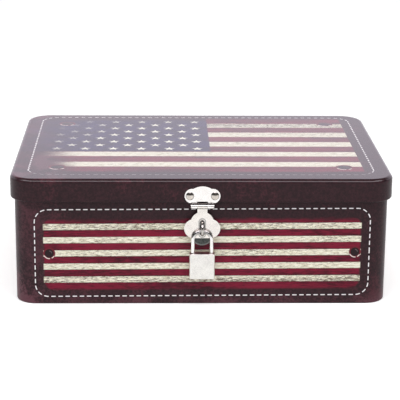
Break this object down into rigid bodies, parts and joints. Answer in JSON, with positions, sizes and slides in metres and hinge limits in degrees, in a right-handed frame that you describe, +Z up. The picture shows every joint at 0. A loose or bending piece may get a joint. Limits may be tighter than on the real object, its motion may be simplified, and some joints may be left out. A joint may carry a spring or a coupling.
{
  "type": "tin trunk",
  "caption": "Small tinplate keepsake trunk with a hinged lid, a riveted hasp and a hanging padlock.",
  "frame": {"origin": "centre of the body's bottom face, on the surface that the trunk stands on", "axes": "+X along the width to the right, -Y out of the front with the hasp, +Z up"},
  "size_m": [0.2406, 0.1934, 0.0824],
  "materials": {
    "printed_tin_body": "printed leather look with antiqued cream and red stripes, satin lacquer",
    "printed_tin_lid": "printed leather look with stripes and stars, gloss lacquer",
    "plain_tin": "plain tinplate",
    "nickel_plate": "bright nickel plate",
    "satin_nickel": "satin nickel plate",
    "lock_steel": "plain steel"
  },
  "bodies": {
    "trunk": {"body_band": "printed_tin_body", "body_bottom": "plain_tin", "hinge_leaf_body_left": "nickel_plate", "hinge_leaf_body_right": "nickel_plate", "hinge_pin_left": "nickel_plate", "hinge_pin_right": "nickel_plate", "hinge_rivets_body": "nickel_plate", "staple_plate": "nickel_plate", "staple_loop": "nickel_plate", "staple_rivets": "nickel_plate"},
    "lid": {"lid_shell": "printed_tin_lid", "hinge_leaf_lid_left": "nickel_plate", "hinge_leaf_lid_right": "nickel_plate", "hinge_rivets_lid": "nickel_plate", "hasp_plate": "nickel_plate", "hasp_rivets": "nickel_plate", "hasp_pin": "nickel_plate"},
    "hasp": {"hasp_tongue": "nickel_plate"},
    "shackle": {"padlock_shackle": "satin_nickel"},
    "case": {"padlock_case": "satin_nickel", "padlock_pins": "lock_steel", "padlock_spring": "lock_steel"},
    "plug": {"padlock_plug": "lock_steel"},
    "bolt": {"padlock_bolt": "lock_steel"}
  },
  "joints": [
    {"name": "lid_hinge", "type": "hinge", "parent": "trunk", "child": "lid", "pos_m": [0, 0.09105, 0.0656], "axis": [-1, 0, 0], "range_deg": [0, 110]},
    {"name": "hasp_hinge", "type": "hinge", "parent": "lid", "child": "hasp", "pos_m": [0, -0.09105, 0.0658], "axis": [-1, 0, 0], "range_deg": [0, 180]},
    {"name": "padlock_swing", "type": "hinge", "parent": "trunk", "child": "shackle", "pos_m": [0, -0.0918, 0.04975], "axis": [-1, 0, 0], "range_deg": [0, 150]},
    {"name": "case_release", "type": "slide", "parent": "shackle", "child": "case", "axis": [0, 0, -1], "range_m": [0, 0.0034], "deforming": ["padlock_spring"]},
    {"name": "plug_turn", "type": "hinge", "parent": "case", "child": "plug", "pos_m": [0, -0.0918, 0.03555], "axis": [0, 0, 1], "range_deg": [0, 90]},
    {"name": "bolt_slide", "type": "slide", "parent": "case", "child": "bolt", "axis": [-1, 0, 0], "range_m": [0, 0.0024]}
  ],
  "couplings": [
    {"joint": "plug_turn", "follows": "case_release", "rad_per_m": 461.99},
    {"joint": "bolt_slide", "follows": "case_release", "ratio": 0.7058}
  ]
}
